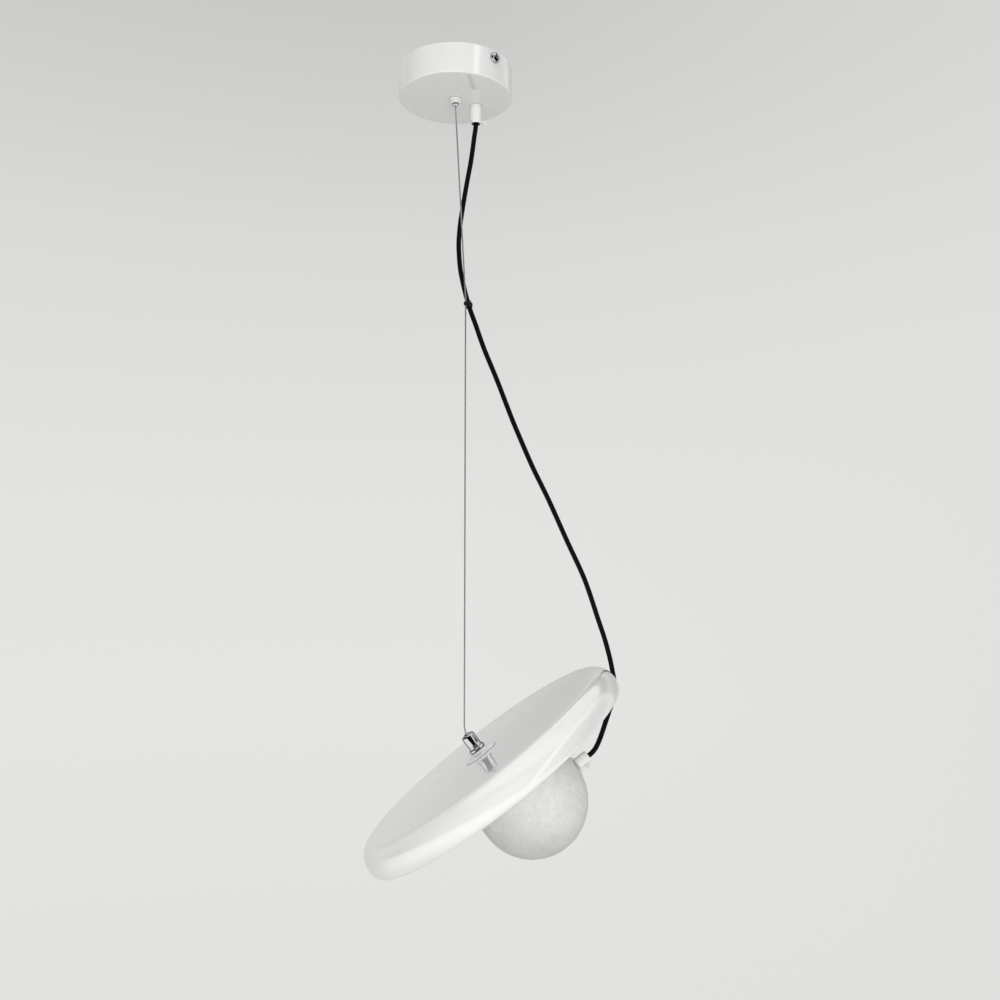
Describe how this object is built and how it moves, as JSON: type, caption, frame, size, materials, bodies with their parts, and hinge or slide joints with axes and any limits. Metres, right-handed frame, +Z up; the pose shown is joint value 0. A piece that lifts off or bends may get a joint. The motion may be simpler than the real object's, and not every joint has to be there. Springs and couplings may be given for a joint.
{
  "type": "pendant lamp",
  "caption": "Pendant lamp: round ceiling canopy, steel wire and loose black cord, and a tilted round disc shade that carries a small pale dome light on its underside.",
  "frame": {"origin": "middle of the mounting bracket's top face, which lies against the ceiling, in line with the wire outlet", "axes": "+Z up, towards the ceiling; +X towards the raised side of the shade, to within 4.2 degrees; +Y to the back"},
  "size_m": [0.2503, 0.2994, 0.8085],
  "materials": {
    "white_paint": "gloss",
    "white_plastic": "gloss",
    "gasket": "matte",
    "chrome": "polished",
    "plated_steel": "satin",
    "wire": "satin",
    "brass": "satin",
    "black_cord": "satin",
    "black_plastic": "satin",
    "earth_sleeve": "satin",
    "alabaster": "satin",
    "ceramic": "satin",
    "bulb_glass": "satin"
  },
  "bodies": {
    "canopy": {"canopy_cover": "white_paint", "mounting_bracket": "plated_steel", "terminal_block": "white_plastic", "earth_screw": "brass", "earth_lead": "earth_sleeve", "outlet_bush": "white_plastic", "outlet_nut": "plated_steel", "cord_canopy_tail": "black_cord", "canopy_cord_grip": "white_plastic", "canopy_grip_ring": "black_plastic", "canopy_grip_nut": "plated_steel", "cord_1": "black_cord"},
    "front_screw": {"side_screw_front": "chrome"},
    "back_screw": {"side_screw_back": "chrome"},
    "canopy_thumb_screw": {"canopy_grip_screw": "white_plastic"},
    "nozzle": {"outlet_nozzle": "chrome", "cord_2": "black_cord"},
    "wire": {"suspension_wire": "wire", "wire_top_ferrule": "plated_steel", "cord_3": "black_cord", "cord_4": "black_cord"},
    "clip": {"cord_clip": "black_plastic"},
    "shade": {"shade_disc": "white_paint", "gripper_base_plate": "white_paint", "gripper_flange": "chrome", "gripper_body": "chrome", "gripper_jaws": "brass", "gripper_spring": "plated_steel", "wire_tail": "wire", "wire_tail_ferrule": "plated_steel", "stem": "plated_steel", "stem_washer": "plated_steel", "stem_nut": "plated_steel", "carrier_spacer": "white_paint", "lamp_carrier": "white_paint", "carrier_skirt": "white_paint", "carrier_nut": "plated_steel", "dome_clip_1": "plated_steel", "dome_clip_2": "plated_steel", "dome_clip_3": "plated_steel", "dome_cord_grip": "white_plastic", "dome_grip_gasket": "gasket", "dome_grip_ring": "black_plastic", "dome_grip_nut": "plated_steel", "cord_dome_tail": "black_cord", "lamp_holder": "ceramic", "holder_plate": "plated_steel", "holder_screw": "plated_steel", "cord_5": "black_cord"},
    "plunger": {"gripper_plunger": "chrome"},
    "dome_thumb_screw": {"dome_grip_screw": "white_plastic"},
    "dome": {"dome_diffuser": "alabaster"},
    "bulb": {"bulb_base": "ceramic", "bulb_envelope": "bulb_glass"}
  },
  "joints": [
    {"name": "front_screw_out", "type": "slide", "parent": "canopy", "child": "front_screw", "axis": [0.6858, -0.7278, 0], "range_m": [0, 0.006]},
    {"name": "back_screw_out", "type": "slide", "parent": "canopy", "child": "back_screw", "axis": [-0.6858, 0.7278, 0], "range_m": [0, 0.006]},
    {"name": "canopy_thumb_screw_out", "type": "slide", "parent": "canopy", "child": "canopy_thumb_screw", "axis": [0.7771, 0.6293, 0], "range_m": [0, 0.003]},
    {"name": "swing_fore_aft", "type": "hinge", "parent": "canopy", "child": "nozzle", "pos_m": [0, 0, -0.0344], "axis": [1, 0, 0], "range_deg": [-6, 6], "stiffness_Nm_per_rad": 10, "springref_deg": 0.14, "deforming": ["cord_1"]},
    {"name": "swing_sideways", "type": "hinge", "parent": "nozzle", "child": "wire", "pos_m": [0, 0, -0.03545], "axis": [0, 1, 0], "range_deg": [-6, 6], "stiffness_Nm_per_rad": 10, "springref_deg": -4.39, "deforming": ["cord_2"]},
    {"name": "clip_slide", "type": "slide", "parent": "wire", "child": "clip", "axis": [0, 0.0005, 1], "range_m": [-0.08, 0.005], "deforming": ["cord_3", "cord_4"]},
    {"name": "shade_tilt", "type": "hinge", "parent": "wire", "child": "shade", "pos_m": [0.0111, -0.0012, -0.6756], "axis": [0.0732, -0.9973, 0], "range_deg": [-37, 20], "deforming": ["cord_5"]},
    {"name": "gripper_release", "type": "slide", "parent": "shade", "child": "plunger", "axis": [0.6002, 0.0441, -0.7986], "range_m": [0, 0.001], "stiffness_N_per_m": 800, "deforming": ["gripper_spring"]},
    {"name": "dome_thumb_screw_out", "type": "slide", "parent": "shade", "child": "dome_thumb_screw", "axis": [0.5337, -0.5359, -0.6542], "range_m": [0, 0.003]},
    {"name": "dome_pull_off", "type": "slide", "parent": "shade", "child": "dome", "axis": [0.6002, 0.0441, -0.7986], "range_m": [0, 0.06]},
    {"name": "bulb_pull_out", "type": "slide", "parent": "shade", "child": "bulb", "axis": [0.6002, 0.0441, -0.7986], "range_m": [0, 0.008]}
  ]
}
